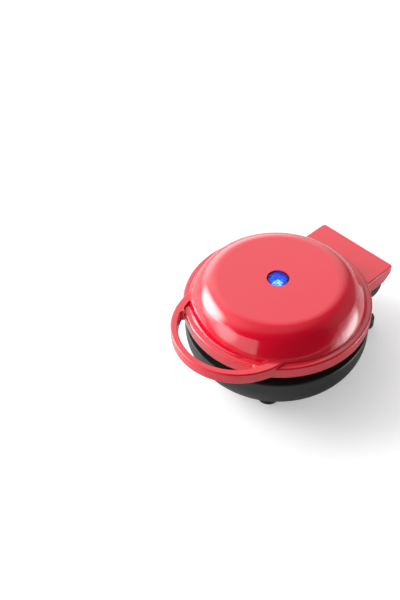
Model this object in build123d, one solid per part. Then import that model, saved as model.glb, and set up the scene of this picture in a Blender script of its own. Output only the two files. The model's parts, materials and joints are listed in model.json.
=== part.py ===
from build123d import *
from math import acos, atan, cos, degrees, hypot, radians, sin, sqrt
import os

# Mini waffle maker with its lid closed, in millimetres.
# +Z is up, the handle points to -Y, the hinge is at +Y.
# Pieces are laid out about the axis of the round plates, on the table, and placed() then moves
# them so that the origin is the middle of the whole footprint.

# Base bowl
bowl_bottom_z = 3.0
bowl_rim_z = 36.2
bowl_r = 63.0
bowl_corner_r = 26.0
bowl_wall = 2.4
bowl_rim_edge = 0.8
rim_thickness = 1.8
rim_plate_clearance = 0.7
rim_seat_clearance = 0.5

# Lid cover
flange_overhang = 0.5
flange_rise = 4.2
flange_height = 8.6
flange_edge = 1.2
flange_lower_edge = 0.5
ledge_width = 4.2
dome_height = 17.9
dome_foot_fillet = 1.0
shoulder_r = 16.2
shoulder_turn = 50.0
flank_slope = 70.0
lid_wall = 2.2

# Handle: a crescent between two circles
handle_reach = 17.7
handle_outer_r = 44.1
handle_inner_r = 38.3
handle_band = 4.5
handle_rise = 1.9
handle_height = 8.6
handle_edge = 1.0
grip_corner_r = 1.6
handle_root_depth = 1.6

# Hinge
hinge_setback = 6.0
hinge_drop = 1.4
barrel_r = 7.4
block_half_width = 30.1
cap_side_clearance = 0.4
cap_wall = 1.6
cap_top_rise = 13.7
cap_top_wall = 2.2
cap_behind_axis = 15.5
cap_rear_wall = 2.5
cap_bottom_rise = 3.2
cap_corner_r = 2.5
cap_edge_r = 1.0
cap_rear_drop = 4.0
cap_rear_reach = 5.5
ear_r = 5.6
ear_width = 6.0
ear_inner_x = 17.5
ear_side_clearance = 0.4
ear_front_clearance = 0.6
block_root_inset = 18.0
block_front_inset = 2.0
block_front_drop = 1.0
pin_r = 1.5
pin_grip = 4.5
pin_end_recess = 0.3
pin_seat_clearance = 0.03
pin_running_clearance = 0.07

# Cooking plates, given from the plane in which they meet
plate_gap = 0.2
plate_rim_width = 2.0
plate_rim_height = 3.5
plate_rim_edge = 0.6
plate_back_depth = 11.7
cavity_wall = 2.0
cavity_draft = 1.9
cavity_depth = 8.7
cavity_fillet = 1.5
peg_pitch = 11.0
peg_base = 7.6
peg_tip = 5.8
peg_corner = 0.9
peg_height = 6.0
peg_margin = 2.2
peg_least_width = 0.76
post_inset = 9.5
post_r = 4.0
post_length = 5.4
post_count = 3
post_first_angle = -90.0
element_post_gap = 6.0
element_r = 2.6
element_depth = 2.2
element_seat_r = 5.0
element_seat_height = 3.0
element_clearance = 0.1
element_gap_angle = 16.0
element_end_length = 7.0
element_pin_r = 1.2
element_pin_length = 4.0

# Heat shields
shield_thickness = 0.6
shield_plate_inset = 1.5
shield_rim_height = 3.5
shield_centre_hole_r = 15.0
shield_hole_clearance = 1.0
shield_boss_clearance = 0.5

# Screws
screw_r = 1.5
screw_pilot_clearance = 0.03
screw_hole_clearance = 0.3
screw_head_r = 3.0
screw_head_height = 2.0
screw_grip = 4.4
pilot_spare = 1.0
screw_slot_width = 0.9
screw_slot_depth = 0.9

# Screw bosses in the bowl
boss_r = 5.0
boss_floor = 3.0
counterbore_clearance = 0.5

# Feet
front_foot_x = 27.0
front_foot_y = -34.5
rear_foot_x = 28.0
rear_foot_setback = 4.6
foot_stub_r = 7.4
foot_stub_z = 1.4
foot_stub_top_z = 8.6
foot_stub_edge = 1.0
foot_pad_r = 6.4
foot_pad_height = 3.2
foot_pad_clearance = 0.1
foot_pad_edge = 0.6
leg_width = 6.0
leg_setback = 3.0
leg_edge = 2.0
leg_foot_rise = 2.0

# Vents under the bowl
vent_count = 10
vent_length = 13.0
vent_width = 2.6
vent_circle_r = 24.0
vent_first_angle = 180.0
vent_step_angle = 20.0

# Cord gland
gland_z = 12.5
gland_boss_length = 2.4
gland_boss_r = 7.0
gland_sleeve_r = 4.4
gland_clearance = 0.1
gland_flange_r = 6.2
gland_flange_height = 2.0
gland_nose_length = 3.0
gland_nose_r = 4.8
gland_bore_r = 3.1
gland_sleeve_length = 6.5
gland_pocket_clearance = 0.3
gland_pocket_depth = 7.5
gland_nose_taper = 0.4

# Lid liner
liner_outer_clearance = 0.3
liner_lip_thickness = 1.8
liner_plate_clearance = 0.2
liner_wall = 1.1
liner_body_clearance = 0.3
liner_shelf_thickness = 1.6
liner_shelf_margin = 6.0
liner_cover_clearance = 0.2
liner_dome_clearance = 0.4
snap_bead = 0.5
snap_bead_width = 0.8
snap_clearance = 0.2
snap_drop = 0.9

# Indicator
lens_r = 7.35
lens_clearance = 0.15
lens_recess = 0.5
lens_dome = 0.3
lens_flange_r = 9.2
lens_flange_height = 1.2
lamp_boss_r = 11.2
lamp_boss_length = 6.0
holder_clearance = 0.2
holder_height = 5.6
holder_floor = 1.6
holder_wall = 1.2
lamp_r = 2.5
lamp_clearance = 0.1
lamp_height = 2.6
lamp_flange_r = 3.0
lamp_flange_height = 1.0
lamp_leg_x = 1.3
lamp_leg_r = 0.4
lamp_leg_length = 2.4
lamp_lead_clearance = 0.3

# Thermostat and thermal fuse on the back of the lower plate
thermostat_r = 7.5
thermostat_height = 4.5
thermostat_cap_r = 5.5
thermostat_cap_height = 1.6
tab_width = 4.0
tab_thickness = 0.8
tab_length = 6.0
tab_x = 3.6
clip_end = 2.0
clip_width = 5.0
clip_thickness = 0.8
clip_boss_gap = 1.3
clip_boss_r = 2.2
clip_screw_r = 1.0
clip_screw_head_r = 1.9
clip_screw_head_height = 1.2
clip_screw_grip = 2.0
clip_pilot_spare = 0.4
clip_hole_clearance = 0.3
fuse_seat_gap = 11.0
fuse_r = 2.0
fuse_length = 16.0
fuse_lead_r = 0.6
fuse_lead_length = 5.0
fuse_clip_width = 4.0
fuse_clip_thickness = 0.6
fuse_clip_foot = 4.5

# Terminal block on the floor of the bowl
block_y = 24.0
block_length = 20.0
block_width = 12.0
block_height = 9.0
block_edge = 0.8
block_way_x = 4.5
block_way_r = 1.6
block_screw_r = 1.3
block_screw_clearance = 0.03
block_clearance = 0.2
cradle_thickness = 1.4
cradle_height = 5.4
block_screw_sink = 1.0

# Leads
lead_r = 1.0
lead_bend_r = 3.0
lead_end_clearance = 0.5
supply_x = 1.5
supply_run = 7.0

# How far a cutting shape reaches past what it cuts, and how deep a joined shape is sunk
cut_spare = 1.0
join_depth = 0.5

# Values worked out from the sizes above: radii
bowl_flat_r = bowl_r - bowl_corner_r
flange_r = bowl_r + flange_overhang
flange_inner_r = flange_r - lid_wall
dome_foot_r = flange_r - ledge_width
dome_inner_foot_r = dome_foot_r - lid_wall
handle_root_r = dome_foot_r - handle_root_depth
plate_body_r = dome_inner_foot_r - liner_cover_clearance - liner_wall - liner_body_clearance
plate_rim_r = plate_body_r + plate_rim_width
cavity_mouth_r = plate_body_r - cavity_wall
cavity_floor_r = cavity_mouth_r - cavity_draft
peg_field_r = cavity_floor_r - peg_margin
post_circle_r = plate_body_r - post_inset
element_ring_r = post_circle_r - post_r - element_post_gap
liner_shelf_inner_r = post_circle_r - liner_shelf_margin
shield_r = plate_body_r - shield_plate_inset

# Heights above the table
bowl_floor_z = bowl_bottom_z + bowl_wall
mating_z = bowl_rim_z + rim_seat_clearance + plate_rim_height + plate_gap / 2
flange_bottom_z = mating_z + flange_rise
ledge_z = flange_bottom_z + flange_height
lid_top_z = ledge_z + dome_height
dome_inner_top_z = lid_top_z - lid_wall
handle_top_z = ledge_z + handle_rise
snap_z = ledge_z - snap_drop
hinge_z = bowl_rim_z - hinge_drop
cap_top_z = hinge_z + cap_top_rise
cap_bottom_z = hinge_z + cap_bottom_rise
holder_low_z = dome_inner_top_z - lens_flange_height - holder_height
block_way_z = bowl_floor_z + block_height / 2
lower_face_z = mating_z - plate_gap / 2
upper_face_z = mating_z + plate_gap / 2
lower_back_z = lower_face_z - plate_back_depth
upper_back_z = upper_face_z + plate_back_depth
lower_post_z = lower_back_z - post_length
upper_post_z = upper_back_z + post_length
boss_top_z = lower_post_z - shield_thickness
shelf_bottom_z = upper_post_z + shield_thickness
shelf_top_z = shelf_bottom_z + liner_shelf_thickness
lower_element_end_z = lower_back_z - element_depth - element_end_length
upper_element_end_z = upper_back_z + element_depth + element_end_length

# Places across and along
handle_front_y = -flange_r - handle_reach
handle_outer_y = handle_front_y + handle_outer_r
handle_inner_y = handle_front_y + handle_band + handle_inner_r
hinge_y = bowl_r + hinge_setback
block_root_y = bowl_r - block_root_inset
block_front_y = bowl_r - block_front_inset
cap_rear_y = hinge_y + cap_behind_axis
plate_axis_y = -(handle_front_y + cap_rear_y) / 2
cap_inner_half_width = block_half_width + cap_side_clearance
cap_half_width = cap_inner_half_width + cap_wall
ear_centre_x = ear_inner_x + ear_width / 2
pin_inner_x = ear_inner_x - pin_grip
pin_outer_x = block_half_width - pin_end_recess
leg_x = block_half_width - leg_width / 2
leg_rear_y = hinge_y - leg_setback
rear_foot_y = hinge_y - rear_foot_setback
gland_wall_y = bowl_flat_r + sqrt(bowl_corner_r ** 2 - (bowl_bottom_z + bowl_corner_r - gland_z) ** 2)
gland_seat_y = gland_wall_y + gland_boss_length
gland_inner_y = gland_seat_y - gland_sleeve_length
clip_boss_x = thermostat_r + clip_boss_gap + clip_boss_r
fuse_y = element_ring_r - element_seat_r - fuse_seat_gap
fuse_screw_y = fuse_y + fuse_r + fuse_clip_thickness + fuse_clip_foot / 2

# The dome's outline: a shoulder arc that leaves the flat top level, then a flatter flank arc down to
# the ledge. The inside has the same two centres.
turn_sin, turn_cos = sin(radians(shoulder_turn)), cos(radians(shoulder_turn))
slope_sin, slope_cos = sin(radians(flank_slope)), cos(radians(flank_slope))
flank_r = (dome_height - shoulder_r * (1 - turn_cos)) / (turn_cos - slope_cos)
flank_centre_r = dome_foot_r - flank_r * slope_sin
flank_centre_z = ledge_z - flank_r * slope_cos
shoulder_centre_z = lid_top_z - shoulder_r
dome_flat_r = flank_centre_r + (flank_r - shoulder_r) * turn_sin
flank_inner_r = flank_r - lid_wall
inner_foot_angle = degrees(acos((dome_inner_foot_r - flank_centre_r) / flank_inner_r))
liner_shelf_r = (
    flank_centre_r + sqrt(flank_inner_r ** 2 - (shelf_top_z - flank_centre_z) ** 2)
    - liner_dome_clearance)

os.makedirs("parts", exist_ok=True)


def placed(shape):
    """Moves a piece from the plates' axis to the middle of the footprint."""
    return Pos(0, plate_axis_y, 0) * shape


def turned(outline):
    """Turns a closed outline of (radius, height) about the plates' axis."""
    return revolve(Plane.XZ * outline, Axis.Z)


def outline_of(points):
    return make_face(Polyline(*points, close=True))


def corner_near(face, x, y):
    return face.vertices().sort_by_distance((x, y, 0))[0]


def tube_along_z(outer_r, inner_r, z_low, z_high):
    ring = Circle(outer_r) - Circle(inner_r) if inner_r else Circle(outer_r)
    return extrude(Plane.XY.offset(z_low) * ring, z_high - z_low)


def rod_along_x(r, x_low, x_high, y, z):
    return Pos((x_low + x_high) / 2, y, z) * Rot(0, 90, 0) * Cylinder(r, x_high - x_low)


def rod_along_y(r, y_low, y_high, z):
    return Pos(0, (y_low + y_high) / 2, z) * Rot(90, 0, 0) * Cylinder(r, y_high - y_low)


def at_angle(r, angle):
    return r * cos(radians(angle)), r * sin(radians(angle))


def screw(shank_r, head_r, head_height, depth):
    """A slotted screw that points down, with the underside of its head at z = 0."""
    head = tube_along_z(head_r, 0, 0, head_height)
    slot = Pos(0, 0, head_height) * Box(2 * head_r, screw_slot_width, 2 * screw_slot_depth)
    return head - slot + tube_along_z(shank_r, 0, -depth, 0)


def lead(*points):
    """An insulated wire along straight runs with rounded corners."""
    route = FilletPolyline(*points, radius=lead_bend_r) if len(points) > 2 else Line(*points)
    return sweep(Plane(route @ 0, z_dir=route % 0) * Circle(lead_r), path=route)


# Base bowl


def bowl_solid(inset, top_z):
    """The bowl's outside form, drawn in by the inset."""
    arc = CenterArc((bowl_flat_r, bowl_bottom_z + bowl_corner_r), bowl_corner_r - inset, -90, 90)
    wall = Line(arc @ 1, (bowl_r - inset, top_z))
    top = Line(wall @ 1, (0, top_z))
    middle = Line(top @ 1, (0, bowl_bottom_z + inset))
    floor = Line(middle @ 1, arc @ 0)
    return turned(make_face(floor + arc + wall + top + middle))


def bowl():
    outside = bowl_solid(0, bowl_rim_z)
    hollow = bowl_solid(bowl_wall, bowl_rim_z - rim_thickness)
    mouth = tube_along_z(
        plate_body_r + rim_plate_clearance, 0,
        bowl_rim_z - rim_thickness - cut_spare, bowl_rim_z + cut_spare)
    cup = outside - hollow - mouth
    return fillet(cup.edges().filter_by(GeomType.CIRCLE).group_by(Axis.Z)[-1], bowl_rim_edge)


def hinge_block():
    """The block behind the bowl, with a knuckled barrel round the hinge axis."""
    low_z = hinge_z - barrel_r
    high_z = hinge_z + barrel_r
    web = outline_of([
        (block_root_y, low_z),
        (hinge_y, low_z),
        (hinge_y, high_z),
        (block_front_y, bowl_rim_z - block_front_drop),
        (block_root_y, bowl_rim_z - block_front_drop),
    ])
    side = web + Pos(hinge_y, hinge_z) * Circle(barrel_r)
    return extrude(Plane.YZ * side, block_half_width, both=True)


def ear_slot(side):
    """The room in the barrel for one ear of the lid."""
    front_y = hinge_y - ear_r - ear_front_clearance
    rear_y = hinge_y + barrel_r + cut_spare
    height = 2 * barrel_r + 2 * cut_spare
    width = ear_width + 2 * ear_side_clearance
    middle_y = (front_y + rear_y) / 2
    return Pos(side * ear_centre_x, middle_y, hinge_z) * Box(width, rear_y - front_y, height)


def rear_leg(side):
    """A rib from the bowl and the hinge block down to the rear foot, with a sloping front edge."""
    low_z = foot_stub_z + leg_foot_rise
    high_z = hinge_z - barrel_r + join_depth
    outline = outline_of([
        (rear_foot_y - foot_stub_r, low_z),
        (leg_rear_y, low_z),
        (leg_rear_y, high_z),
        (block_root_y, high_z),
    ])
    rib = extrude(Plane.YZ * outline, leg_width / 2, both=True)
    rib = fillet(rib.edges().filter_by(Axis.Z).group_by(Axis.Y)[-1], leg_edge)
    return Pos(side * leg_x, 0, 0) * rib


def foot_places():
    for side in (-1, 1):
        yield side * front_foot_x, front_foot_y
        yield side * rear_foot_x, rear_foot_y


def foot_stub(x, y):
    stub = tube_along_z(foot_stub_r, 0, foot_stub_z, foot_stub_top_z)
    stub = fillet(stub.edges().group_by(Axis.Z)[-1], foot_stub_edge)
    return Pos(x, y) * stub


def boss_places():
    for index in range(post_count):
        yield at_angle(post_circle_r, post_first_angle + index * 360 / post_count)


def vent(index):
    angle = vent_first_angle + index * vent_step_angle
    slot = extrude(SlotOverall(vent_length, vent_width), bowl_wall + 2 * cut_spare)
    return Rot(0, 0, angle) * Pos(vent_circle_r, 0, bowl_bottom_z - cut_spare) * slot


def block_cradle(side):
    """A rib on the floor of the bowl that holds one end of the terminal block."""
    x = side * (block_length / 2 + block_clearance + cradle_thickness / 2)
    rib = Box(cradle_thickness, block_width, cradle_height + join_depth)
    return Pos(x, block_y, bowl_floor_z + (cradle_height - join_depth) / 2) * rib


def base_shell():
    shell = bowl()
    outer = hinge_block()
    for side in (-1, 1):
        outer -= ear_slot(side)
        outer += rear_leg(side)
    for x, y in foot_places():
        outer += foot_stub(x, y)
    outer += rod_along_y(gland_boss_r, block_root_y, gland_seat_y, gland_z)
    outer -= bowl_solid(bowl_wall / 2, hinge_z + 2 * barrel_r)
    shell += outer

    for x, y in boss_places():
        boss = Pos(x, y) * tube_along_z(boss_r, 0, bowl_bottom_z, boss_top_z)
        shell += boss & bowl_solid(bowl_wall / 2, boss_top_z)
    for side in (-1, 1):
        shell += block_cradle(side)

    for x, y in boss_places():
        shell -= Pos(x, y) * tube_along_z(
            screw_head_r + counterbore_clearance, 0, 0, boss_top_z - boss_floor)
        shell -= Pos(x, y) * tube_along_z(
            screw_r + screw_hole_clearance, 0, 0, boss_top_z + cut_spare)
    for x, y in foot_places():
        shell -= Pos(x, y) * tube_along_z(foot_pad_r + foot_pad_clearance, 0, 0, foot_pad_height)
    for index in range(vent_count):
        shell -= vent(index)
    for side in (-1, 1):
        ends = sorted((side * pin_inner_x, side * (block_half_width + cut_spare)))
        shell -= rod_along_x(pin_r + pin_seat_clearance, *ends, hinge_y, hinge_z)
    shell -= rod_along_y(
        gland_flange_r + gland_pocket_clearance, gland_seat_y, gland_seat_y + gland_pocket_depth,
        gland_z)
    shell -= rod_along_y(
        gland_sleeve_r + gland_clearance, block_root_y - 2 * gland_boss_r, gland_seat_y + cut_spare,
        gland_z)
    return shell


def foot():
    pad = tube_along_z(foot_pad_r, 0, 0, foot_pad_height)
    return fillet(pad.edges().group_by(Axis.Z)[0], foot_pad_edge)


def cord_gland():
    """A flanged bush. Its outline is (radius, distance along +Y)."""
    nose_y = gland_seat_y + gland_flange_height
    bush = outline_of([
        (gland_bore_r, gland_inner_y),
        (gland_sleeve_r, gland_inner_y),
        (gland_sleeve_r, gland_seat_y),
        (gland_flange_r, gland_seat_y),
        (gland_flange_r, nose_y),
        (gland_nose_r, nose_y),
        (gland_nose_r - gland_nose_taper, nose_y + gland_nose_length),
        (gland_bore_r, nose_y + gland_nose_length),
    ])
    return Pos(0, 0, gland_z) * Rot(-90, 0, 0) * turned(bush)


# Cooking plates. Both are one casting, drawn with its mating face at z = 0 and its back below.


def peg():
    """One tapered peg of the waffle grid, standing on z = 0."""
    taper = degrees(atan((peg_base - peg_tip) / 2 / peg_height))
    return extrude(RectangleRounded(peg_base, peg_base, peg_corner), peg_height, taper=taper)


def peg_grid():
    """Every peg of the square grid that lies mostly on the floor, cut to the floor's round edge."""
    reach = int(peg_field_r / peg_pitch) + 1
    steps = range(-reach, reach + 1)
    field = tube_along_z(peg_field_r, 0, -cut_spare, peg_height + cut_spare)
    pegs = []
    for x, y in ((i * peg_pitch, j * peg_pitch) for i in steps for j in steps):
        corner = hypot(abs(x) + peg_base / 2, abs(y) + peg_base / 2)
        if corner <= peg_field_r:
            pegs.append(Pos(x, y) * peg())
        elif hypot(x, y) <= peg_field_r - peg_least_width:
            pegs.append(Pos(x, y) * peg() & field)
    return pegs


def waffle_plate():
    casting = turned(outline_of([
        (0, -plate_back_depth),
        (plate_body_r, -plate_back_depth),
        (plate_body_r, -plate_rim_height),
        (plate_rim_r, -plate_rim_height),
        (plate_rim_r, 0),
        (0, 0),
    ]))
    rim = casting.edges().filter_by(GeomType.CIRCLE).sort_by(SortBy.LENGTH)[-2:]
    casting = fillet(rim, plate_rim_edge)
    cavity = outline_of([
        (0, 0),
        (cavity_mouth_r, 0),
        (cavity_floor_r, -cavity_depth),
        (0, -cavity_depth),
    ])
    cavity = fillet(corner_near(cavity, cavity_floor_r, -cavity_depth), cavity_fillet)
    casting -= turned(cavity)
    seat = tube_along_z(
        element_ring_r + element_seat_r, element_ring_r - element_seat_r,
        -plate_back_depth - element_seat_height, -plate_back_depth)
    casting += seat
    for x, y in boss_places():
        post = tube_along_z(post_r, 0, -plate_back_depth - post_length, -plate_back_depth)
        pilot = tube_along_z(
            screw_r + screw_pilot_clearance, 0,
            -plate_back_depth - post_length, -plate_back_depth - post_length + screw_grip + pilot_spare)
        casting += Pos(x, y) * post
        casting -= Pos(x, y) * pilot
    groove_z = -plate_back_depth - element_depth
    casting -= Pos(0, 0, groove_z) * Torus(element_ring_r, element_r + element_clearance)
    below = Pos(0, 0, groove_z - element_seat_height / 2) * tube_along_z(
        element_ring_r + element_r + element_clearance,
        element_ring_r - element_r - element_clearance,
        -element_seat_height / 2, element_seat_height / 2)
    casting -= below
    return casting + [Pos(0, 0, -cavity_depth) * piece for piece in peg_grid()]


def lower_plate():
    """The casting with the bosses that the thermostat's clip and the fuse's clip screw into."""
    plate = Pos(0, 0, lower_face_z) * waffle_plate()
    for x, y, depth in clip_screw_places():
        if depth:
            plate += Pos(x, y) * tube_along_z(clip_boss_r, 0, lower_back_z - depth, lower_back_z)
        top_z = lower_back_z - depth + clip_screw_grip + clip_pilot_spare
        plate -= Pos(x, y) * tube_along_z(
            clip_screw_r + screw_pilot_clearance, 0, lower_back_z - depth - cut_spare, top_z)
    return plate


def upper_plate():
    return Pos(0, 0, upper_face_z) * Rot(0, 180, 0) * waffle_plate()


def element():
    """A tubular element, an open ring with turned ends and contact pins, in the casting's frame."""
    centre_z = -plate_back_depth - element_depth
    section = Plane.XZ * (Pos(element_ring_r, 0) * Circle(element_r))
    sweep_angle = 360 - 2 * element_gap_angle
    ring = revolve(section, Axis.Z, sweep_angle)
    tube = Pos(0, 0, centre_z) * Rot(0, 0, 90 + element_gap_angle) * ring
    for side in (-1, 1):
        x, y = at_angle(element_ring_r, 90 + side * element_gap_angle)
        low_z = centre_z - element_end_length
        tube += Pos(x, y, centre_z) * Sphere(element_r)
        tube += Pos(x, y) * tube_along_z(element_r, 0, low_z, centre_z)
        tube += Pos(x, y) * tube_along_z(element_pin_r, 0, low_z - element_pin_length, low_z)
    return tube


def heat_shield():
    """A pressed pan between the posts and the bosses, in the casting's frame."""
    flat_z = -plate_back_depth - post_length - shield_thickness
    flat_r = post_circle_r + boss_r + shield_boss_clearance
    pan = turned(outline_of([
        (shield_centre_hole_r, flat_z),
        (flat_r, flat_z),
        (shield_r, flat_z + shield_rim_height),
        (shield_r, flat_z + shield_rim_height + shield_thickness),
        (flat_r - shield_thickness / 2, flat_z + shield_thickness),
        (shield_centre_hole_r, flat_z + shield_thickness),
    ]))
    for x, y in boss_places():
        pan -= Pos(x, y, flat_z) * Cylinder(screw_r + screw_hole_clearance, 4 * shield_thickness)
    for side in (-1, 1):
        x, y = at_angle(element_ring_r, 90 + side * element_gap_angle)
        pan -= Pos(x, y, flat_z) * Cylinder(element_r + shield_hole_clearance, 4 * shield_thickness)
    return pan


def in_base(shape):
    return Pos(0, 0, lower_face_z) * shape


def in_lid(shape):
    return Pos(0, 0, upper_face_z) * Rot(0, 180, 0) * shape


def plate_screws_lower():
    depth = boss_floor + shield_thickness + screw_grip
    one = Rot(180, 0, 0) * screw(screw_r, screw_head_r, screw_head_height, depth)
    return [Pos(x, y, boss_top_z - boss_floor) * one for x, y in boss_places()]


def plate_screws_upper():
    depth = liner_shelf_thickness + shield_thickness + screw_grip
    one = screw(screw_r, screw_head_r, screw_head_height, depth)
    return [Pos(-x, y, shelf_top_z) * one for x, y in boss_places()]


# Thermostat, fuse and wiring in the base


def clip_screw_places():
    """Each clip screw's place, and how far its boss stands below the back of the plate."""
    yield -clip_boss_x, 0, thermostat_height
    yield clip_boss_x, 0, thermostat_height
    yield 0, fuse_screw_y, 0


def thermostat():
    low_z = lower_back_z - thermostat_height
    cap_z = low_z - thermostat_cap_height
    can = tube_along_z(thermostat_r, 0, low_z, lower_back_z)
    can += tube_along_z(thermostat_cap_r, 0, cap_z, low_z)
    for side in (-1, 1):
        can += Pos(side * tab_x, 0, cap_z - tab_length / 2) * Box(tab_thickness, tab_width, tab_length)
    return can


def thermostat_clip():
    low_z = lower_back_z - thermostat_height - clip_thickness
    strap = Rectangle(2 * clip_boss_x + 2 * clip_end, clip_width) + Circle(thermostat_r)
    strap -= Circle(thermostat_cap_r + clip_hole_clearance)
    for side in (-1, 1):
        strap -= Pos(side * clip_boss_x, 0) * Circle(clip_screw_r + clip_hole_clearance / 2)
    return extrude(Plane.XY.offset(low_z) * strap, clip_thickness)


def thermal_fuse():
    z = lower_back_z - fuse_r
    fuse = rod_along_x(fuse_r, -fuse_length / 2, fuse_length / 2, fuse_y, z)
    reach = fuse_length / 2 + fuse_lead_length
    return fuse + rod_along_x(fuse_lead_r, -reach, reach, fuse_y, z)


def fuse_clip():
    """A strap that wraps the fuse, with a foot for its screw. Its section is (y, z)."""
    wrap_r = fuse_r + fuse_clip_thickness
    back = lower_back_z
    wrap = Pos(fuse_y, back - fuse_r) * Circle(wrap_r)
    wrap += Pos(fuse_y, back - fuse_r / 2) * Rectangle(2 * wrap_r, fuse_r)
    foot_middle_y = fuse_screw_y - join_depth / 2
    wrap += Pos(foot_middle_y, back - fuse_clip_thickness / 2) * Rectangle(
        fuse_clip_foot + join_depth, fuse_clip_thickness)
    wrap -= Pos(fuse_y, back - fuse_r) * Circle(fuse_r)
    wrap -= Pos(fuse_y, back - fuse_r / 2) * Rectangle(2 * fuse_r, fuse_r)
    wrap -= Pos(fuse_y, back + wrap_r) * Rectangle(4 * wrap_r, 2 * wrap_r)
    strap = extrude(Plane.YZ * wrap, fuse_clip_width / 2, both=True)
    hole = tube_along_z(
        clip_screw_r + clip_hole_clearance / 2, 0, back - fuse_clip_thickness - cut_spare, back + cut_spare)
    return strap - Pos(0, fuse_screw_y) * hole


def clip_screws():
    screws = []
    for x, y, depth in clip_screw_places():
        strap = clip_thickness if depth else fuse_clip_thickness
        one = screw(clip_screw_r, clip_screw_head_r, clip_screw_head_height, strap + clip_screw_grip)
        screws.append(Pos(x, y, lower_back_z - depth - strap) * Rot(180, 0, 0) * one)
    return screws


def terminal_block():
    body = Box(block_length, block_width, block_height)
    body = fillet(body.edges().filter_by(Axis.Z), block_edge)
    body = Pos(0, block_y, block_way_z) * body
    way = rod_along_y(block_way_r, block_y - block_width, block_y + block_width, block_way_z)
    for side in (-1, 1):
        body -= Pos(side * block_way_x, 0) * way
        for end in (-1, 1):
            body -= Pos(side * block_way_x, block_y + end * block_width / 4) * tube_along_z(
                block_screw_r, 0, block_way_z, bowl_floor_z + block_height + cut_spare)
    return body


def terminal_screws():
    """Clamping screws, each bearing on the lead in its way."""
    rod = tube_along_z(
        block_screw_r - block_screw_clearance, 0,
        block_way_z + lead_r, bowl_floor_z + block_height - block_screw_sink)
    screws = []
    for side in (-1, 1):
        for end in (-1, 1):
            screws.append(Pos(side * block_way_x, block_y + end * block_width / 4) * rod)
    return screws


def base_leads():
    way_z = block_way_z
    rear_y = block_y + block_width / 2
    front_y = block_y - block_width / 2
    leads = []
    for side in (-1, 1):
        leads.append(lead(
            (side * supply_x, gland_inner_y - lead_end_clearance, gland_z),
            (side * supply_x, gland_inner_y - supply_run, gland_z),
            (side * block_way_x, rear_y + supply_run, way_z),
            (side * block_way_x, block_y + block_width / 4, way_z),
        ))
    tab_side_x = -tab_x - tab_thickness / 2 - lead_r
    tab_top_z = lower_back_z - thermostat_height - thermostat_cap_height
    leads.append(lead(
        (tab_side_x, block_y - block_width / 4, way_z),
        (tab_side_x, 0, way_z),
        (tab_side_x, 0, tab_top_z - tab_length / 3),
    ))
    pin_x, pin_y = at_angle(element_ring_r, 90 - element_gap_angle)
    pin_side_x = pin_x + element_pin_r + lead_r
    around_x = pin_side_x + 3 * lead_bend_r
    before_y = front_y - 3 * lead_bend_r
    leads.append(lead(
        (block_way_x, block_y - block_width / 4, way_z),
        (block_way_x, before_y, way_z),
        (around_x, before_y, way_z),
        (around_x, pin_y, way_z),
        (pin_side_x, pin_y, way_z),
        (pin_side_x, pin_y, lower_element_end_z - lead_end_clearance),
    ))
    return leads


def hinge_pins():
    pins = []
    for side in (-1, 1):
        ends = sorted((side * pin_inner_x, side * pin_outer_x))
        pins.append(rod_along_x(pin_r, *ends, hinge_y, hinge_z))
    return pins


# Lid


def dome_curve(inset, foot_angle):
    """The dome's outline from its foot up to the edge of the flat top, drawn in by the inset."""
    turn_angle = 90 - shoulder_turn
    flank = CenterArc(
        (flank_centre_r, flank_centre_z), flank_r - inset, foot_angle, turn_angle - foot_angle)
    shoulder = CenterArc(
        (dome_flat_r, shoulder_centre_z), shoulder_r - inset, turn_angle, shoulder_turn)
    return flank, shoulder


def lid_form():
    """The closed outside of the dome, the ledge and the flange."""
    bottom = Line((0, flange_bottom_z), (flange_r, flange_bottom_z))
    wall = Line(bottom @ 1, (flange_r, ledge_z))
    flank, shoulder = dome_curve(0, 90 - flank_slope)
    ledge = Line(wall @ 1, flank @ 0)
    top = Line(shoulder @ 1, (0, lid_top_z))
    middle = Line(top @ 1, bottom @ 0)
    face = make_face(bottom + wall + ledge + flank + shoulder + top + middle)
    face = fillet(corner_near(face, flange_r, flange_bottom_z), flange_lower_edge)
    face = fillet(corner_near(face, flange_r, ledge_z), flange_edge)
    face = fillet(corner_near(face, dome_foot_r, ledge_z), dome_foot_fillet)
    return turned(face)


def lid_hollow():
    """What is taken out of the lid from below."""
    low_z = cap_bottom_z - cut_spare
    roof_z = ledge_z - lid_wall
    bottom = Line((0, low_z), (flange_inner_r, low_z))
    wall = Line(bottom @ 1, (flange_inner_r, roof_z))
    roof = Line(wall @ 1, (dome_inner_foot_r, roof_z))
    flank, shoulder = dome_curve(lid_wall, inner_foot_angle)
    foot = Line(roof @ 1, flank @ 0)
    top = Line(shoulder @ 1, (0, dome_inner_top_z))
    middle = Line(top @ 1, bottom @ 0)
    hollow = turned(make_face(bottom + wall + roof + foot + flank + shoulder + top + middle))
    half = snap_bead_width / 2 + snap_clearance
    groove_r = dome_inner_foot_r + snap_bead
    return hollow + tube_along_z(groove_r, 0, snap_z - half, snap_z + half)


def handle():
    """The crescent band and its roots on the ledge, with rounded corners at the finger gap's ends."""
    outer = Pos(0, handle_outer_y) * Circle(handle_outer_r)
    inner = Pos(0, handle_inner_y) * Circle(handle_inner_r)
    gap = inner - Circle(flange_r)
    rounded_gap = fillet(gap.vertices(), grip_corner_r)
    plan = outer - Circle(handle_root_r) - inner + (gap - rounded_gap)
    band = extrude(Plane.XY.offset(handle_top_z - handle_height) * plan, handle_height)
    arcs = band.edges().filter_by(Plane.XY).filter_by(GeomType.CIRCLE)
    return fillet([arc for arc in arcs if arc.length > arc.radius], handle_edge)


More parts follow.
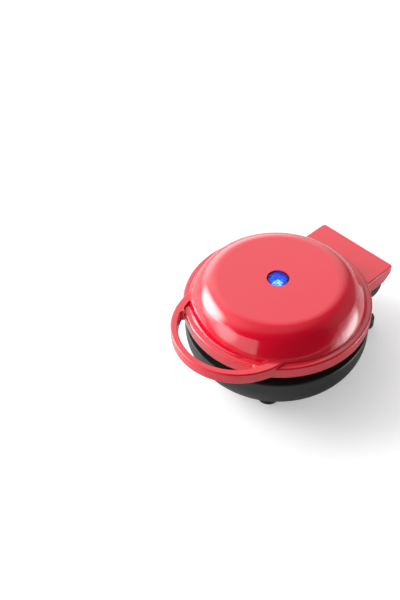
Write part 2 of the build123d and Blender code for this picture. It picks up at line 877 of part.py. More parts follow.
def hinge_cap():
    """The square cap over the hinge, open below, with the two ears that the pins go through."""
    front_y = block_root_y
    side = outline_of([
        (front_y, cap_bottom_z),
        (cap_rear_y - cap_rear_reach, cap_bottom_z),
        (cap_rear_y, cap_bottom_z + cap_rear_drop),
        (cap_rear_y, cap_top_z),
        (front_y, cap_top_z),
    ])
    side = fillet(corner_near(side, cap_rear_y, cap_bottom_z + cap_rear_drop), cap_corner_r)
    cap = extrude(Plane.YZ * side, cap_half_width, both=True)
    corners = cap.edges().filter_by(Axis.Z).group_by(Axis.Y)[-1]
    cap = fillet(corners, cap_corner_r)
    top_edges = cap.faces().sort_by(Axis.Z)[-1].edges().sort_by(Axis.Y)
    cap = fillet(top_edges[1:], cap_edge_r)
    inner_rear_y = cap_rear_y - cap_rear_wall
    ceiling_z = cap_top_z - cap_top_wall
    depth = inner_rear_y - front_y + cut_spare
    height = ceiling_z - cap_bottom_z + cut_spare
    room = Box(2 * cap_inner_half_width, depth, height)
    cap -= Pos(0, inner_rear_y - depth / 2, ceiling_z - height / 2) * room
    for end in (-1, 1):
        stem_height = ceiling_z + join_depth - hinge_z
        ear = Pos(hinge_y, hinge_z) * Circle(ear_r)
        ear += Pos(hinge_y, hinge_z + stem_height / 2) * Rectangle(2 * ear_r, stem_height)
        cap += Pos(end * ear_centre_x, 0, 0) * extrude(Plane.YZ * ear, ear_width / 2, both=True)
    return cap


def lid_cover():
    cover = lid_form() + hinge_cap() + handle() - lid_hollow()
    boss_inner_r = lens_flange_r + 2 * holder_clearance
    cover += tube_along_z(
        lamp_boss_r, boss_inner_r, dome_inner_top_z - lamp_boss_length, dome_inner_top_z + join_depth)
    cover -= tube_along_z(
        lens_r + lens_clearance, 0, dome_inner_top_z - cut_spare, lid_top_z + cut_spare)
    reach = block_half_width
    return cover - rod_along_x(pin_r + pin_running_clearance, -reach, reach, hinge_y, hinge_z)


def lid_liner():
    """The ring round the upper plate and the shelf that the plate's screws hold it to."""
    lip_low_z = upper_face_z + plate_rim_height + liner_plate_clearance
    lip_high_z = lip_low_z + liner_lip_thickness
    inner_r = plate_body_r + liner_body_clearance
    outer_r = inner_r + liner_wall
    bead_low_z = snap_z - snap_bead_width / 2
    bead_high_z = snap_z + snap_bead_width / 2
    liner = turned(outline_of([
        (inner_r, lip_low_z),
        (flange_inner_r - liner_outer_clearance, lip_low_z),
        (flange_inner_r - liner_outer_clearance, lip_high_z),
        (outer_r, lip_high_z),
        (outer_r, bead_low_z),
        (outer_r + snap_bead, snap_z),
        (outer_r, bead_high_z),
        (liner_shelf_r, shelf_top_z),
        (liner_shelf_inner_r, shelf_top_z),
        (liner_shelf_inner_r, shelf_bottom_z),
        (liner_shelf_r - liner_wall, shelf_bottom_z),
        (inner_r, upper_back_z),
    ]))
    hole = Cylinder(screw_r + screw_hole_clearance, 4 * liner_shelf_thickness)
    return liner - [Pos(-x, y, shelf_bottom_z) * hole for x, y in boss_places()]


def indicator_lens():
    """The lens is slightly domed, and its flange bears on the inside of the lid."""
    rim_z = lid_top_z - lens_recess - lens_dome
    flange_z = dome_inner_top_z - lens_flange_height
    sagitta_r = (lens_r ** 2 + lens_dome ** 2) / (2 * lens_dome)
    dome = RadiusArc((lens_r, rim_z), (0, rim_z + lens_dome), -sagitta_r)
    side = Polyline(
        dome @ 1, (0, flange_z), (lens_flange_r, flange_z), (lens_flange_r, dome_inner_top_z),
        (lens_r, dome_inner_top_z), (lens_r, rim_z))
    return turned(make_face(dome + side))


def lamp_holder():
    high_z = holder_low_z + holder_height
    cup = tube_along_z(lens_flange_r, 0, holder_low_z, high_z)
    cup -= tube_along_z(lens_flange_r - holder_wall, 0, holder_low_z + holder_floor, high_z + cut_spare)
    return cup - tube_along_z(lamp_r + lamp_clearance, 0, holder_low_z - cut_spare, high_z)


def indicator_lamp():
    low_z = holder_low_z
    lamp = tube_along_z(lamp_r, 0, low_z, low_z + lamp_height)
    lamp += Pos(0, 0, low_z + lamp_height) * Sphere(lamp_r)
    lamp += tube_along_z(lamp_flange_r, 0, low_z - lamp_flange_height, low_z)
    for side in (-1, 1):
        leg_z = low_z - lamp_flange_height
        lamp += Pos(side * lamp_leg_x, 0) * tube_along_z(lamp_leg_r, 0, leg_z - lamp_leg_length, leg_z)
    return lamp


def upper_leads():
    """Two wires from the lamp's legs to the pins of the upper element."""
    start_z = holder_low_z - lamp_flange_height - lead_r - lamp_lead_clearance
    leads = []
    for side in (-1, 1):
        pin_x, pin_y = at_angle(element_ring_r, 90 - side * element_gap_angle)
        start_x = side * (lamp_leg_x + lamp_leg_r + lead_r)
        bend_y = pin_y / 2
        run_x = pin_x - start_x
        run_y = pin_y - bend_y
        share = 1 - (element_pin_r + lamp_lead_clearance) / hypot(run_x, run_y)
        end_z = upper_element_end_z + element_pin_length / 2
        leads.append(lead(
            (start_x, -lead_r, start_z),
            (start_x, bend_y, start_z),
            (start_x + share * run_x, bend_y + share * run_y, end_z),
        ))
    return leads


# Every piece by its name


def feet():
    names = {(-1, -1): "foot_front_left", (1, -1): "foot_front_right",
             (-1, 1): "foot_rear_left", (1, 1): "foot_rear_right"}
    one = foot()
    for x, y in foot_places():
        side = 1 if x > 0 else -1
        end = 1 if y > 0 else -1
        yield names[side, end], Pos(x, y) * one


pieces = {
    "base_shell": base_shell(),
    "lower_plate": lower_plate(),
    "lower_element": in_base(element()),
    "lower_heat_shield": in_base(heat_shield()),
    "lower_plate_screws": plate_screws_lower(),
    "thermostat": thermostat(),
    "thermostat_clip": thermostat_clip(),
    "thermal_fuse": thermal_fuse(),
    "fuse_clip": fuse_clip(),
    "clip_screws": clip_screws(),
    "terminal_block": terminal_block(),
    "terminal_screws": terminal_screws(),
    "base_leads": base_leads(),
    "cord_gland": cord_gland(),
    "hinge_pins": hinge_pins(),
    "lid_cover": lid_cover(),
    "lid_liner": lid_liner(),
    "upper_plate": upper_plate(),
    "upper_element": in_lid(element()),
    "upper_heat_shield": in_lid(heat_shield()),
    "upper_plate_screws": plate_screws_upper(),
    "indicator_lens": indicator_lens(),
    "lamp_holder": lamp_holder(),
    "indicator_lamp": indicator_lamp(),
    "lid_leads": upper_leads(),
}
pieces.update(feet())

for name, piece in pieces.items():
    if isinstance(piece, list):
        export_step(Compound(children=[placed(one) for one in piece]), f"parts/{name}.step")
    else:
        export_step(placed(piece), f"parts/{name}.step")
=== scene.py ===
import bmesh
import bpy
import json
import math
from mathutils import Matrix, Vector


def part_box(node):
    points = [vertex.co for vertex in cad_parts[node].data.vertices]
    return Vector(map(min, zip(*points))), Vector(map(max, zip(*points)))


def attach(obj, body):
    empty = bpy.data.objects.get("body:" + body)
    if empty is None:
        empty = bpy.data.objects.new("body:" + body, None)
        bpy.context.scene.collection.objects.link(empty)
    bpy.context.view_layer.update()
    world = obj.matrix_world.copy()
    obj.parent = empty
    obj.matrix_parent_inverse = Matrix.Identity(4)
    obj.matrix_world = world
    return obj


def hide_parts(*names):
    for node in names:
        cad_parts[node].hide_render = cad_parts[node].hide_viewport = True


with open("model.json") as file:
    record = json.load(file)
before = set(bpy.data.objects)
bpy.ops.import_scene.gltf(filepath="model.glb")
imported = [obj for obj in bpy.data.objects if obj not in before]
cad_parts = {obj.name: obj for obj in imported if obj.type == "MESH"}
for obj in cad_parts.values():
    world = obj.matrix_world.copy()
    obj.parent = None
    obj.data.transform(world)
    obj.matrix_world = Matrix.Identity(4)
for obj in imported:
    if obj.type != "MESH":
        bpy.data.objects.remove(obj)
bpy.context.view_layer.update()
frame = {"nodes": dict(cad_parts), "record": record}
nodes = frame["nodes"]
mm = 0.001
print("Frame loaded:", len(nodes), "CAD nodes")


def directionOf(azimuth, elevation):
    # azimuth 0 is +Y, 90 is +X
    a, e = math.radians(azimuth), math.radians(elevation)
    return Vector((math.sin(a) * math.cos(e), math.cos(a) * math.cos(e), math.sin(e)))


# Camera, at the reference picture's angle

cameraSetup = {
    "lens": 51.85,
    "place": (0.27509, -0.30999, 0.46667),
    "azimuth": 48.97,
    "elevation": 45.23,
    "roll": 2.37,
}


def makeCamera(setup):
    data = bpy.data.cameras.new("mainCamera")
    data.lens = setup["lens"]
    camera = bpy.data.objects.new("mainCamera", data)
    bpy.context.scene.collection.objects.link(camera)
    turn = Matrix.Rotation(math.radians(setup["azimuth"]), 4, "Z")
    tilt = Matrix.Rotation(math.radians(90 - setup["elevation"]), 4, "X")
    roll = Matrix.Rotation(math.radians(-setup["roll"]), 4, "Z")
    camera.matrix_world = Matrix.Translation(setup["place"]) @ turn @ tilt @ roll
    bpy.context.scene.camera = camera


makeCamera(cameraSetup)
print("Camera placed")


# Short ways to place and wire shader nodes. A value is a constant or another node's output.

def fillSocket(tree, socket, value):
    if isinstance(value, bpy.types.NodeSocket):
        tree.links.new(value, socket)
    else:
        socket.default_value = value


def addMath(tree, operation, a, b):
    node = tree.nodes.new("ShaderNodeMath")
    node.operation = operation
    fillSocket(tree, node.inputs[0], a)
    fillSocket(tree, node.inputs[1], b)
    return node.outputs[0]


def addVectorMath(tree, operation, a, b, result="Value"):
    node = tree.nodes.new("ShaderNodeVectorMath")
    node.operation = operation
    fillSocket(tree, node.inputs[0], a)
    fillSocket(tree, node.inputs[1], b)
    return node.outputs[result]


def addRange(tree, value, low, high, toLow, toHigh, blend="LINEAR"):
    node = tree.nodes.new("ShaderNodeMapRange")
    node.interpolation_type = blend
    settings = {"Value": value, "From Min": low, "From Max": high, "To Min": toLow, "To Max": toHigh}
    for label, setting in settings.items():
        fillSocket(tree, node.inputs[label], setting)
    return node.outputs["Result"]


def mixColours(tree, mask, first, second):
    node = tree.nodes.new("ShaderNodeMix")
    node.data_type = "RGBA"
    fillSocket(tree, node.inputs["Factor"], mask)
    for label, colour in (("A", first), ("B", second)):
        fillSocket(tree, node.inputs[label], (*colour, 1) if isinstance(colour, tuple) else colour)
    return node.outputs["Result"]


def newFinish(name, constants):
    material = bpy.data.materials.new(name)
    material.use_nodes = True
    shader = material.node_tree.nodes["Principled BSDF"]
    for label, value in constants.items():
        shader.inputs[label].default_value = value
    return material, shader


def seenDirectly(tree):
    # 1 where the camera looks straight or through glass, 0 for other rays
    path = tree.nodes.new("ShaderNodeLightPath")
    return addMath(tree, "MAXIMUM", path.outputs["Is Camera Ray"], path.outputs["Is Transmission Ray"])


# Studio: a front card, a low strip and a soft fill at the right, a world with bright patches, a pale floor

softboxes = {
    # azimuth and elevation are seen from the middle of the lid
    "frontCard": {"shape": "RECTANGLE", "azimuth": -169, "elevation": 17.5, "distance": 0.78,
                  "width": 0.96, "height": 0.4, "radiance": 0.85},
    # nested ovals make one low strip with a soft edge
    "rightStripCore": {"shape": "ELLIPSE", "azimuth": 48, "elevation": -8, "distance": 0.24,
                       "width": 0.1, "height": 0.044, "radiance": 1.2},
    "rightStripBody": {"shape": "ELLIPSE", "azimuth": 50, "elevation": -7.5, "distance": 0.24,
                       "width": 0.145, "height": 0.07, "radiance": 1.1},
    "rightStripEdge": {"shape": "ELLIPSE", "azimuth": 52, "elevation": -6.5, "distance": 0.24,
                       "width": 0.19, "height": 0.095, "radiance": 0.6},
    "rightStripHalo": {"shape": "ELLIPSE", "azimuth": 54, "elevation": -4, "distance": 0.24,
                       "width": 0.23, "height": 0.125, "radiance": 0.3},
    # soft fill that gloss doesn't show
    "rightFill": {"shape": "ELLIPSE", "azimuth": 36, "elevation": 25, "distance": 0.6,
                  "width": 0.45, "height": 0.35, "radiance": 1.0, "inGloss": False},
}
lampAim = Vector((0, 0, 60 * mm))

worldSetup = {
    "ambient": 0.025,  # between the patches
    "below": 0.85,  # under the horizon
    "horizonBlend": 0.02,
    # direction, half angles where a patch is full and where it ends, and what it adds
    "patches": {
        "leftSoftbox": {"azimuth": -117, "elevation": 26, "full": 4, "end": 28, "adds": 9.5},
        "leftGlow": {"azimuth": -112, "elevation": 34, "full": 15, "end": 50, "adds": 0.75},
        "cardGlow": {"azimuth": -158, "elevation": 17, "full": 3, "end": 20, "adds": 2.2},
        "rearWindow": {"azimuth": -52, "elevation": 26, "full": 14, "end": 46, "adds": 1.12},
        "rearHorizon": {"azimuth": -68, "elevation": 4, "full": 12, "end": 34, "adds": 1.3},
        "ceiling": {"azimuth": -100, "elevation": 75, "full": 5, "end": 45, "adds": 0.3},
        "rightGlow": {"azimuth": 30, "elevation": 15, "full": 5, "end": 60, "adds": 0.2},
    },
    # the share of the patches' light that the unlit side keeps
    "darkSide": {"azimuth": 115, "elevation": 25, "full": 30, "end": 60, "keeps": 0.02},
}

floorSetup = {
    "size": 6.0,
    "colour": (0.8, 0.8, 0.8),
    "roughness": 0.55,
    "specular": 0.2,
    "lift": 0.38,  # glow that only the camera sees
    # painted shade in what gloss shows of the floor: a duller colour, and darker further out towards the
    # unlit side
    "reflectedShadeColour": (0.58, 0.58, 0.58),
    "farReflectedShade": (0.05, 0.05, 0.05),
    "shadeAzimuth": 145,
    "shadeFrom": 90 * mm,
    "shadeTo": 240 * mm,
}


def makeSoftbox(name, setup):
    lamp = bpy.data.lights.new(name, "AREA")
    lamp.shape = setup["shape"]
    lamp.size, lamp.size_y = setup["width"], setup["height"]
    area = setup["width"] * setup["height"] * (math.pi / 4 if setup["shape"] == "ELLIPSE" else 1)
    lamp.energy = 4 * setup["radiance"] * area  # its face then looks as bright as its radiance
    box = bpy.data.objects.new(name, lamp)
    box.location = lampAim + directionOf(setup["azimuth"], setup["elevation"]) * setup["distance"]
    box.rotation_euler = (-directionOf(setup["azimuth"], 0)).to_track_quat("-Z", "Y").to_euler()
    box.visible_camera = False
    box.visible_glossy = setup.get("inGloss", True)
    bpy.context.scene.collection.objects.link(box)


def makeWorld(setup):
    world = bpy.data.worlds.new("studio")
    bpy.context.scene.world = world
    world.use_nodes = True
    tree = world.node_tree
    tree.nodes.clear()
    direction = tree.nodes.new("ShaderNodeTexCoord").outputs["Generated"]
    split = tree.nodes.new("ShaderNodeSeparateXYZ")
    tree.links.new(direction, split.inputs[0])

    def patch(spot, outside, inside):
        facing = addVectorMath(
            tree, "DOT_PRODUCT", direction, directionOf(spot["azimuth"], spot["elevation"]))
        edge, core = math.cos(math.radians(spot["end"])), math.cos(math.radians(spot["full"]))
        return addRange(tree, facing, edge, core, outside, inside, "SMOOTHSTEP")

    def acrossHorizon(below, above):
        blend = setup["horizonBlend"]
        return addRange(tree, split.outputs["Z"], -blend, blend, below, above, "SMOOTHSTEP")

    light = 0.0
    for spot in setup["patches"].values():
        light = addMath(tree, "ADD", light, patch(spot, 0, spot["adds"]))
    light = addMath(tree, "MULTIPLY", light, patch(setup["darkSide"], 1, setup["darkSide"]["keeps"]))
    light = addMath(tree, "MULTIPLY", light, acrossHorizon(0, 1))
    light = addMath(tree, "ADD", light, acrossHorizon(setup["below"], setup["ambient"]))

    lit = tree.nodes.new("ShaderNodeBackground")
    white = tree.nodes.new("ShaderNodeBackground")
    for background, strength in ((lit, light), (white, 1.0)):
        background.inputs["Color"].default_value = (1, 1, 1, 1)
        fillSocket(tree, background.inputs["Strength"], strength)
    mix = tree.nodes.new("ShaderNodeMixShader")
    for socket, value in zip(mix.inputs, (seenDirectly(tree), lit.outputs[0], white.outputs[0])):
        tree.links.new(value, socket)
    out = tree.nodes.new("ShaderNodeOutputWorld")
    tree.links.new(mix.outputs[0], out.inputs["Surface"])


def makeFloor(setup):
    mesh = bpy.data.meshes.new("paleFloor")
    form = bmesh.new()
    bmesh.ops.create_grid(form, x_segments=1, y_segments=1, size=setup["size"] / 2)
    form.to_mesh(mesh)
    form.free()
    floor = bpy.data.objects.new("paleFloor", mesh)
    bpy.context.scene.collection.objects.link(floor)

    material, shader = newFinish("paleFloor", {
        "Roughness": setup["roughness"],
        "Specular IOR Level": setup["specular"],
        "Emission Color": (1, 1, 1, 1),
    })
    tree = material.node_tree
    lift = addMath(tree, "MULTIPLY", seenDirectly(tree), setup["lift"])
    tree.links.new(lift, shader.inputs["Emission Strength"])
    # painted shade: gloss rays see the floor duller, and darker further out towards the unlit side
    coord = tree.nodes.new("ShaderNodeTexCoord").outputs["Object"]
    away = addVectorMath(tree, "DOT_PRODUCT", coord, directionOf(setup["shadeAzimuth"], 0))
    shadeFade = addRange(tree, away, setup["shadeFrom"], setup["shadeTo"], 0, 1, "SMOOTHSTEP")
    reflectedShade = mixColours(tree, shadeFade, setup["reflectedShadeColour"], setup["farReflectedShade"])
    path = tree.nodes.new("ShaderNodeLightPath")
    colour = mixColours(tree, path.outputs["Is Glossy Ray"], setup["colour"], reflectedShade)
    tree.links.new(colour, shader.inputs["Base Color"])
    mesh.materials.append(material)


for name, setup in softboxes.items():
    makeSoftbox(name, setup)
makeWorld(worldSetup)
makeFloor(floorSetup)
bpy.context.scene.view_settings.view_transform = "Standard"
print("Studio lit:", len(softboxes), "lamps")


# Shader groups that several finishes share. They put out masks and heights only.
# A group's inputs stand here with the values that they have where a finish sets none.

driftSetup = {"inputs": {"Scale": 40.0, "Low": 0.0, "High": 1.0},
              "detail": 3.0, "roughness": 0.55, "darkest": 0.3, "palest": 0.7}
grainSetup = {"inputs": {"Scale": 1500.0, "Grit": 0.4},
              "detail": 1.0, "roughness": 0.5, "gritFineness": 2.7}
fleckSetup = {"inputs": {"Scale": 900.0, "Size": 0.2}, "softEdge": 0.08}
lineSetup = {"inputs": {"Scale": 300.0},
             "detail": 4.0, "roughness": 0.6, "stretch": (0.06, 1.0, 1.0)}


def newGroup(name, inputs, output):
    tree = bpy.data.node_groups.new(name, "ShaderNodeTree")
    for label, value in inputs.items():
        socket = tree.interface.new_socket(name=label, in_out="INPUT", socket_type="NodeSocketFloat")
        socket.default_value = value
    tree.interface.new_socket(name=output, in_out="OUTPUT", socket_type="NodeSocketFloat")
    given = tree.nodes.new("NodeGroupInput").outputs
    return tree, given, tree.nodes.new("NodeGroupOutput").inputs[output]


def addNoise(tree, vector, scale, setup):
    node = tree.nodes.new("ShaderNodeTexNoise")
    tree.links.new(vector, node.inputs["Vector"])
    tree.links.new(scale, node.inputs["Scale"])
    node.inputs["Detail"].default_value = setup["detail"]
    node.inputs["Roughness"].default_value = setup["roughness"]
    return node.outputs["Fac"]


def objectCoord(tree, stretch=None):
    coord = tree.nodes.new("ShaderNodeTexCoord").outputs["Object"]
    if stretch is None:
        return coord
    mapping = tree.nodes.new("ShaderNodeMapping")
    mapping.inputs["Scale"].default_value = stretch
    tree.links.new(coord, mapping.inputs["Vector"])
    return mapping.outputs[0]


def makeToneDrift(setup):
    # slow change over the surface, between Low and High
    tree, given, out = newGroup("toneDrift", setup["inputs"], "Value")
    noise = addNoise(tree, objectCoord(tree), given["Scale"], setup)
    drift = addRange(tree, noise, setup["darkest"], setup["palest"], given["Low"], given["High"])
    tree.links.new(drift, out)
    return tree


def makeMouldGrain(setup):
    # fine even texture of a moulded face, with finer grit on top
    tree, given, out = newGroup("mouldGrain", setup["inputs"], "Height")
    coord = objectCoord(tree)
    grain = addNoise(tree, coord, given["Scale"], setup)
    finer = addMath(tree, "MULTIPLY", given["Scale"], setup["gritFineness"])
    grit = addMath(tree, "MULTIPLY", addNoise(tree, coord, finer, setup), given["Grit"])
    tree.links.new(addMath(tree, "ADD", grain, grit), out)
    return tree


def makeFlecks(setup):
    # small separate specks, 1 in a speck and 0 between them
    tree, given, out = newGroup("flecks", setup["inputs"], "Mask")
    cells = tree.nodes.new("ShaderNodeTexVoronoi")
    tree.links.new(objectCoord(tree), cells.inputs["Vector"])
    tree.links.new(given["Scale"], cells.inputs["Scale"])
    edge = addMath(tree, "ADD", given["Size"], setup["softEdge"])
    tree.links.new(addRange(tree, cells.outputs["Distance"], given["Size"], edge, 1.0, 0.0), out)
    return tree


def makeDrawLines(setup):
    # long fine lines left by rolling and drawing metal, along X
    tree, given, out = newGroup("drawLines", setup["inputs"], "Height")
    coord = objectCoord(tree, setup["stretch"])
    tree.links.new(addNoise(tree, coord, given["Scale"], setup), out)
    return tree


groups = {
    "toneDrift": makeToneDrift(driftSetup),
    "mouldGrain": makeMouldGrain(grainSetup),
    "flecks": makeFlecks(fleckSetup),
    "drawLines": makeDrawLines(lineSetup),
}
print("Shader groups built:", len(groups))


def placeGroup(tree, name, inputs):
    node = tree.nodes.new("ShaderNodeGroup")
    node.node_tree = groups[name]
    for label, value in inputs.items():
        node.inputs[label].default_value = value
    return node.outputs[0]


def addRoughness(shader, scale, low, high):
    tree = shader.id_data
    drift = placeGroup(tree, "toneDrift", {"Scale": scale, "Low": low, "High": high})
    tree.links.new(drift, shader.inputs["Roughness"])


def addBump(shader, height, depth):
    tree = shader.id_data
    node = tree.nodes.new("ShaderNodeBump")
    node.inputs["Strength"].default_value = 1.0
    node.inputs["Distance"].default_value = depth
    tree.links.new(height, node.inputs["Height"])
    tree.links.new(node.outputs["Normal"], shader.inputs["Normal"])


# Plain finishes: two tones between which a mask chooses, a drifting roughness and a fine relief

families = {
    "glossRed": {"constants": {"Coat Weight": 1.0, "Coat Roughness": 0.07, "IOR": 1.54},
                 "mask": ("toneDrift", {"Scale": 25.0}), "roughnessScale": 60.0,
                 "relief": ("mouldGrain", {"Grit": 0.3})},
    "satinBlack": {"constants": {"IOR": 1.52},
                   "mask": ("toneDrift", {"Scale": 45.0}), "roughnessScale": 90.0,
                   "relief": ("mouldGrain", {"Grit": 0.5})},
    "nonStick": {"constants": {"IOR": 1.45},
                 "mask": ("flecks", {"Scale": 1100.0, "Size": 0.16}), "roughnessScale": 70.0,
                 "relief": ("mouldGrain", {"Grit": 0.6})},
    "bareMetal": {"constants": {"Metallic": 1.0},
                  "mask": ("toneDrift", {"Scale": 80.0}), "roughnessScale": 160.0,
                  "relief": ("drawLines", {})},
    "dullPlastic": {"constants": {},
                    "mask": ("toneDrift", {"Scale": 60.0}), "roughnessScale": 150.0,
                    "relief": ("mouldGrain", {"Grit": 0.5})},
}

plainFinishes = {
    # for each slot its family, its two tones, its range of roughness, and the relief's scale and depth
    "lid_red": {
        "family": "glossRed", "tones": ((0.82, 0.0034, 0.028), (0.79, 0.0031, 0.026)),
        "roughness": (0.12, 0.16), "reliefScale": 420.0, "depth": 0.01 * mm},
    "base_black": {
        "family": "satinBlack", "tones": ((0.02, 0.02, 0.02), (0.026, 0.026, 0.026)),
        "roughness": (0.33, 0.41), "reliefScale": 1500.0, "depth": 0.06 * mm},
    "liner_black": {
        "family": "satinBlack", "tones": ((0.008, 0.008, 0.008), (0.011, 0.011, 0.011)),
        "roughness": (0.42, 0.5), "reliefScale": 1300.0, "depth": 0.06 * mm},
    "gland_plastic": {
        "family": "satinBlack", "tones": ((0.016, 0.016, 0.016), (0.02, 0.02, 0.02)),
        "roughness": (0.45, 0.55), "reliefScale": 1200.0, "depth": 0.06 * mm},
    "nonstick": {
        "family": "nonStick", "tones": ((0.009, 0.009, 0.0095), (0.05, 0.05, 0.052)),
        "roughness": (0.3, 0.4), "reliefScale": 2200.0, "depth": 0.03 * mm},
    "element_steel": {
        "family": "bareMetal", "tones": ((0.33, 0.32, 0.31), (0.27, 0.23, 0.19)),
        "roughness": (0.42, 0.58), "reliefScale": 260.0, "depth": 0.02 * mm},
    "shield_aluminium": {
        "family": "bareMetal", "tones": ((0.76, 0.76, 0.77), (0.7, 0.7, 0.72)),
        "roughness": (0.24, 0.36), "reliefScale": 420.0, "depth": 0.02 * mm},
    "screw_steel": {
        "family": "bareMetal", "tones": ((0.62, 0.62, 0.6), (0.55, 0.53, 0.48)),
        "roughness": (0.28, 0.4), "reliefScale": 500.0, "depth": 0.01 * mm},
    "clip_steel": {
        "family": "bareMetal", "tones": ((0.56, 0.56, 0.55), (0.48, 0.48, 0.48)),
        "roughness": (0.32, 0.44), "reliefScale": 380.0, "depth": 0.01 * mm},
    "pin_steel": {
        "family": "bareMetal", "tones": ((0.64, 0.64, 0.63), (0.58, 0.58, 0.58)),
        "roughness": (0.2, 0.3), "reliefScale": 700.0, "depth": 0.01 * mm},
    "fuse_metal": {
        "family": "bareMetal", "tones": ((0.72, 0.7, 0.62), (0.62, 0.6, 0.54)),
        "roughness": (0.28, 0.4), "reliefScale": 450.0, "depth": 0.01 * mm},
    "terminal_brass": {
        "family": "bareMetal", "tones": ((0.72, 0.54, 0.24), (0.6, 0.43, 0.2)),
        "roughness": (0.25, 0.38), "reliefScale": 500.0, "depth": 0.01 * mm},
    "thermostat": {
        "family": "dullPlastic", "tones": ((0.76, 0.73, 0.67), (0.7, 0.66, 0.58)),
        "roughness": (0.6, 0.75), "reliefScale": 900.0, "depth": 0.06 * mm},
    "terminal_plastic": {
        "family": "dullPlastic", "tones": ((0.8, 0.78, 0.72), (0.76, 0.74, 0.68)),
        "roughness": (0.38, 0.48), "reliefScale": 1400.0, "depth": 0.03 * mm},
    "holder_plastic": {
        "family": "dullPlastic", "tones": ((0.8, 0.8, 0.78), (0.76, 0.76, 0.74)),
        "roughness": (0.35, 0.45), "reliefScale": 1400.0, "depth": 0.02 * mm},
    "foot_rubber": {
        "family": "dullPlastic", "tones": ((0.016, 0.016, 0.016), (0.024, 0.024, 0.024)),
        "roughness": (0.62, 0.74), "reliefScale": 1600.0, "depth": 0.08 * mm},
}


def plainFinish(name, setup):
    family = families[setup["family"]]
    material, shader = newFinish(name, family["constants"])
    tree = material.node_tree
    colour = mixColours(tree, placeGroup(tree, *family["mask"]), *setup["tones"])
    tree.links.new(colour, shader.inputs["Base Color"])
    addRoughness(shader, family["roughnessScale"], *setup["roughness"])
    relief, inputs = family["relief"]
    addBump(shader, placeGroup(tree, relief, {"Scale": setup["reliefScale"], **inputs}), setup["depth"])
    return material


# Braided sleeve of the inner leads

sleeveSetup = {
    "weaveScale": 500.0,
    "distortion": 1.5,
    "tones": ((0.55, 0.53, 0.48), (0.75, 0.74, 0.7)),
    "roughness": (0.6, 0.75),
    "roughnessScale": 200.0,
    "depth": 0.08 * mm,
}


def braidedSleeve(name, setup):
    material, shader = newFinish(name, {})
    tree = material.node_tree
    wave = tree.nodes.new("ShaderNodeTexWave")
    wave.bands_direction = "DIAGONAL"
    wave.inputs["Scale"].default_value = setup["weaveScale"]
    wave.inputs["Distortion"].default_value = setup["distortion"]
    tree.links.new(objectCoord(tree), wave.inputs["Vector"])
    colour = mixColours(tree, wave.outputs["Fac"], *setup["tones"])
    tree.links.new(colour, shader.inputs["Base Color"])
    addRoughness(shader, setup["roughnessScale"], *setup["roughness"])
    addBump(shader, wave.outputs["Fac"], setup["depth"])
    return material


# Clear blue of the lens, with painted light from the lamp below: a painted glow, small square facets of
# deep blue with painted pale glints, and painted shade towards the rim

clearBlueSetup = {
    "node": "indicator_lens",
    "constants": {"Transmission Weight": 1.0, "IOR": 1.3, "Emission Strength": 0.42},
    "facet": 1.4 * mm,
    "rimShadeFrom": 5.2 * mm,  # reach from the top's middle where the painted rim shade starts
    "rimShadeTo": 6.8 * mm,
    # colours of the dark facets, the pale facets with painted glints, and the rim's painted shade
    "body": ((0.003, 0.035, 0.6), (0.08, 0.17, 0.92), (0.0005, 0.001, 0.02)),
    # painted glow: the lamp's light painted into the lens as emission, though the lens is no lamp
    "glow": ((0.0, 0.012, 0.42), (0.0, 0.11, 1.0), (0.0, 0.002, 0.06)),
    "roughness": (0.02, 0.05),
    "roughnessScale": 400.0,
}


def clearBlue(name, setup):
    material, shader = newFinish(name, setup["constants"])
    tree = material.node_tree
    coord = objectCoord(tree)
    cell = addVectorMath(tree, "SNAP", coord, (setup["facet"], setup["facet"], 1.0), "Vector")
    facet = tree.nodes.new("ShaderNodeTexWhiteNoise")
    tree.links.new(cell, facet.inputs["Vector"])
    low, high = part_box(setup["node"])
    middle = ((low.x + high.x) / 2, (low.y + high.y) / 2, high.z)
    reach = addVectorMath(tree, "DISTANCE", coord, middle)
    # painted shade: the lens darkens towards its rim
    rimShade = addRange(tree, reach, setup["rimShadeFrom"], setup["rimShadeTo"], 0.0, 1.0)

    def withPaintedLight(darkFacet, glintFacet, rimShadeColour):
        inside = mixColours(tree, facet.outputs["Value"], darkFacet, glintFacet)
        return mixColours(tree, rimShade, inside, rimShadeColour)

    tree.links.new(withPaintedLight(*setup["body"]), shader.inputs["Base Color"])
    # painted glow of the lamp below, in the lens's emission
    tree.links.new(withPaintedLight(*setup["glow"]), shader.inputs["Emission Color"])
    addRoughness(shader, setup["roughnessScale"], *setup["roughness"])
    return material


# Glass of the lamp under the lens

lampSetup = {
    "constants": {"Emission Strength": 15.0, "Roughness": 0.2},
    "driftScale": 500.0,
    "body": ((0.6, 0.7, 0.8), (0.7, 0.8, 0.9)),
    "glow": ((0.6, 0.8, 1.0), (0.75, 0.9, 1.0)),
}


def glowingLamp(name, setup):
    material, shader = newFinish(name, setup["constants"])
    tree = material.node_tree
    drift = placeGroup(tree, "toneDrift", {"Scale": setup["driftScale"]})
    tree.links.new(mixColours(tree, drift, *setup["body"]), shader.inputs["Base Color"])
    tree.links.new(mixColours(tree, drift, *setup["glow"]), shader.inputs["Emission Color"])
    return material


finishes = {name: plainFinish(name, setup) for name, setup in plainFinishes.items()}
finishes["lead_sleeve"] = braidedSleeve("lead_sleeve", sleeveSetup)
finishes["lens_blue"] = clearBlue("lens_blue", clearBlueSetup)
finishes["lamp_glow"] = glowingLamp("lamp_glow", lampSetup)
for part in frame["record"]["subparts"]:
    for place in nodes[part["node"]].material_slots:
        place.material = finishes[part["material_slot"]]
print("Finishes placed:", len(finishes))


# Indicator lens: a clear blue button with small prisms moulded under it

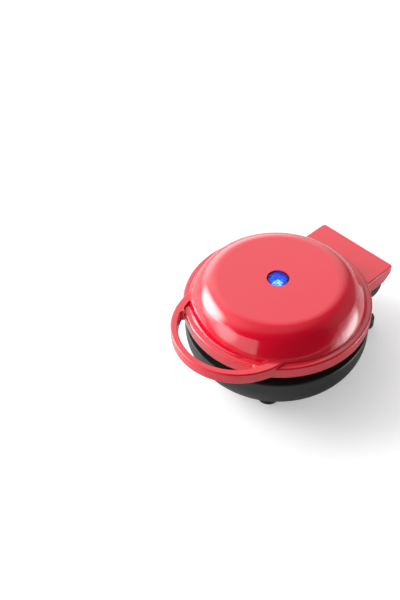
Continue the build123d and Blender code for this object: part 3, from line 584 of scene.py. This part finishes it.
lensSetup = {
    "node": "indicator_lens",
    "segments": 64,
    "buttonRadius": 7.35 * mm,
    "flangeHeight": 1.2 * mm,
    "crown": 0.3 * mm,  # rise of the top from its edge to its middle
    "crownSteps": 8,
    "edge": 0.35 * mm,  # chamfer round the top
    "prismPitch": 2.0 * mm,
    "prismRows": 8,
    "prismDepth": 0.75 * mm,
    "prismField": 6.6 * mm,  # radius that whole prisms stay within
    "mergeWithin": 0.001 * mm,
}


def makeLens(setup):
    low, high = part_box(setup["node"])
    middle = (low + high) / 2
    flangeRadius = (high.x - low.x) / 2
    form = bmesh.new()

    # outside: flange, button and crowned top, turned from an outline
    flangeTop = low.z + setup["flangeHeight"]
    shoulder = high.z - setup["crown"]
    radius = setup["buttonRadius"]
    topRadius = radius - setup["edge"]
    outline = [
        (flangeRadius, low.z), (flangeRadius, flangeTop), (radius, flangeTop),
        (radius, shoulder - setup["edge"]), (topRadius, shoulder),
    ]
    for step in range(1, setup["crownSteps"]):
        share = 1 - step / setup["crownSteps"]
        outline.append((topRadius * share, high.z - setup["crown"] * share * share))
    points = [form.verts.new((x, 0, z)) for x, z in outline] + [form.verts.new((0, 0, high.z))]
    edges = [form.edges.new(pair) for pair in zip(points, points[1:])]
    bmesh.ops.spin(form, geom=points + edges, cent=(0, 0, 0), axis=(0, 0, 1), angle=math.tau,
                   steps=setup["segments"], use_merge=True, use_duplicate=False)
    bmesh.ops.remove_doubles(form, verts=form.verts, dist=setup["mergeWithin"])

    # underside: square prisms inside the field, then a flat ring out to the flange
    rows = setup["prismRows"]
    grid = bmesh.ops.create_grid(
        form, x_segments=rows, y_segments=rows, size=rows / 2 * setup["prismPitch"],
        matrix=Matrix.Translation((0, 0, low.z)))
    cells = dict.fromkeys(face for vert in grid["verts"] for face in vert.link_faces)  # each once
    outer = [f for f in cells if max(v.co.xy.length for v in f.verts) > setup["prismField"]]
    bmesh.ops.delete(form, geom=outer, context="FACES")
    cells = [f for f in cells if f.is_valid]
    border = [e for e in form.edges if e.is_boundary]
    bmesh.ops.triangle_fill(form, edges=border, use_beauty=True, use_dissolve=False)
    bmesh.ops.poke(form, faces=cells, offset=setup["prismDepth"])
    bmesh.ops.recalc_face_normals(form, faces=form.faces)
    bmesh.ops.translate(form, verts=form.verts, vec=(middle.x, middle.y, 0))

    mesh = bpy.data.meshes.new("indicatorLensCut")
    form.to_mesh(mesh)
    form.free()
    lens = bpy.data.objects.new("indicatorLensCut", mesh)
    bpy.context.scene.collection.objects.link(lens)
    mesh.materials.append(finishes["lens_blue"])
    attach(lens, "lid")
    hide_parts(setup["node"])


makeLens(lensSetup)
print("Lens cut")
